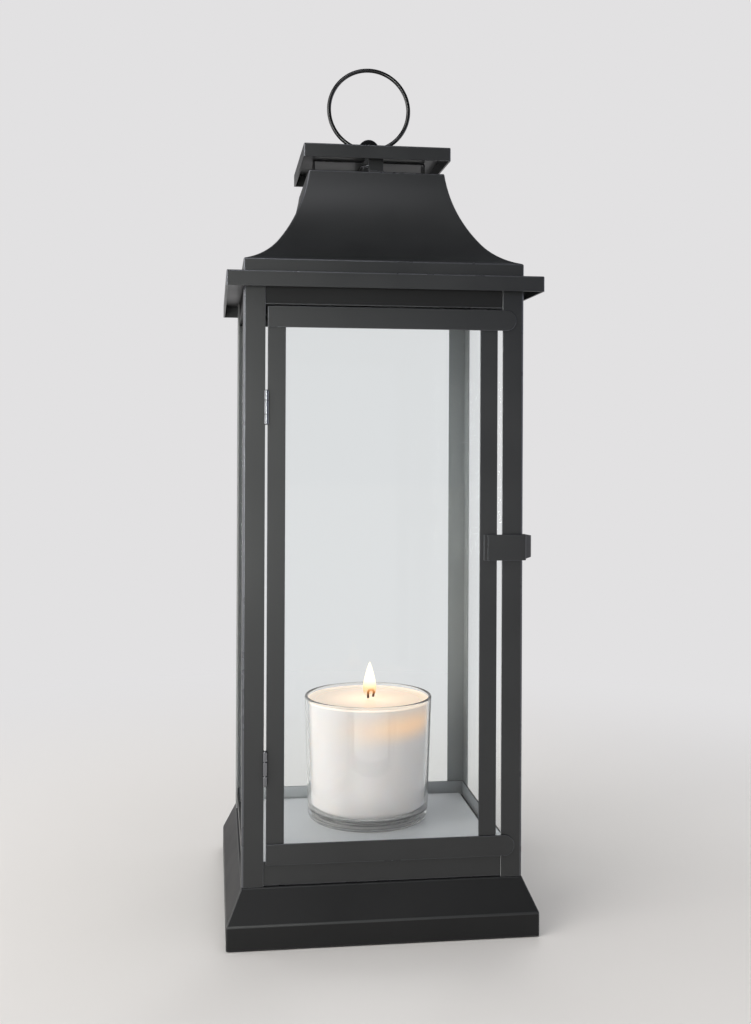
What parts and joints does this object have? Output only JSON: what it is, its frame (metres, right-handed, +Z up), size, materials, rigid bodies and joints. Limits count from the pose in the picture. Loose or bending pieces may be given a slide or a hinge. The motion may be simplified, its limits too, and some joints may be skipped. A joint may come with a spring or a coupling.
{
  "type": "hurricane lantern",
  "caption": "Square black metal candle lantern with glass sides, a hinged glazed door with a spring latch, a flared roof with a vented cap, a hanging ring and a jar candle.",
  "frame": {"origin": "middle of the square that the plinth stands on, at floor height", "axes": "+X to the right of someone facing the door, +Y to the back, +Z up"},
  "size_m": [0.2128, 0.2128, 0.6123],
  "materials": {
    "black_powder_coat": "satin powder coat",
    "grey_powder_coat": "satin powder coat",
    "clear_glass": "clear",
    "bare_steel": "plain zinc plated",
    "candle_wax": "soft wax sheen",
    "wick_cotton": "charred cotton"
  },
  "bodies": {
    "case": {"plinth_front": "black_powder_coat", "plinth_right": "black_powder_coat", "plinth_back": "black_powder_coat", "plinth_left": "black_powder_coat", "sill_front": "black_powder_coat", "sill_right": "black_powder_coat", "sill_back": "black_powder_coat", "sill_left": "black_powder_coat", "header_front": "black_powder_coat", "header_right": "black_powder_coat", "header_back": "black_powder_coat", "header_left": "black_powder_coat", "cornice_front": "black_powder_coat", "cornice_right": "black_powder_coat", "cornice_back": "black_powder_coat", "cornice_left": "black_powder_coat", "roof_front": "black_powder_coat", "roof_right": "black_powder_coat", "roof_back": "black_powder_coat", "roof_left": "black_powder_coat", "post_front_left": "black_powder_coat", "post_front_right": "black_powder_coat", "post_back_right": "black_powder_coat", "post_back_left": "black_powder_coat", "floor_plate": "grey_powder_coat", "pane_left": "clear_glass", "pane_right": "clear_glass", "pane_back": "clear_glass", "pane_clips": "black_powder_coat", "chimney_cap": "black_powder_coat", "cap_strap_across": "black_powder_coat", "cap_strap_along": "black_powder_coat", "ring_eye": "black_powder_coat", "eye_washer": "bare_steel", "eye_nut": "bare_steel", "hinge_post_leaf_upper": "bare_steel", "hinge_post_leaf_lower": "bare_steel", "hinge_pin_upper": "bare_steel", "hinge_pin_lower": "bare_steel"},
    "door": {"door_stile_left": "black_powder_coat", "door_stile_right": "black_powder_coat", "door_rail_top": "black_powder_coat", "door_rail_bottom": "black_powder_coat", "door_pane": "clear_glass", "door_clips": "black_powder_coat", "hinge_door_leaf_upper": "bare_steel", "hinge_door_leaf_lower": "bare_steel", "latch_pad": "black_powder_coat"},
    "latch": {"latch_clip": "black_powder_coat"},
    "ring": {"hanging_ring": "black_powder_coat"},
    "candle": {"candle_jar": "clear_glass", "candle_wax": "candle_wax", "candle_wick": "wick_cotton", "wick_sustainer": "bare_steel"}
  },
  "joints": [
    {"name": "door_hinge", "type": "hinge", "parent": "case", "child": "door", "pos_m": [-0.07965, -0.0972, 0.2362], "axis": [0, 0, -1], "range_deg": [0, 175]},
    {"name": "latch_flex", "type": "hinge", "parent": "door", "child": "latch", "pos_m": [0.07, -0.097, 0.2617], "axis": [0, 0, -1], "range_deg": [0, 10], "stiffness_Nm_per_rad": 0.3},
    {"name": "ring_swing", "type": "hinge", "parent": "case", "child": "ring", "pos_m": [0, 0, 0.551], "axis": [1, 0, 0], "range_deg": [-96, 96]},
    {"name": "candle_lift", "type": "slide", "parent": "case", "child": "candle", "axis": [0, 0, 1], "range_m": [0, 0.15]}
  ]
}
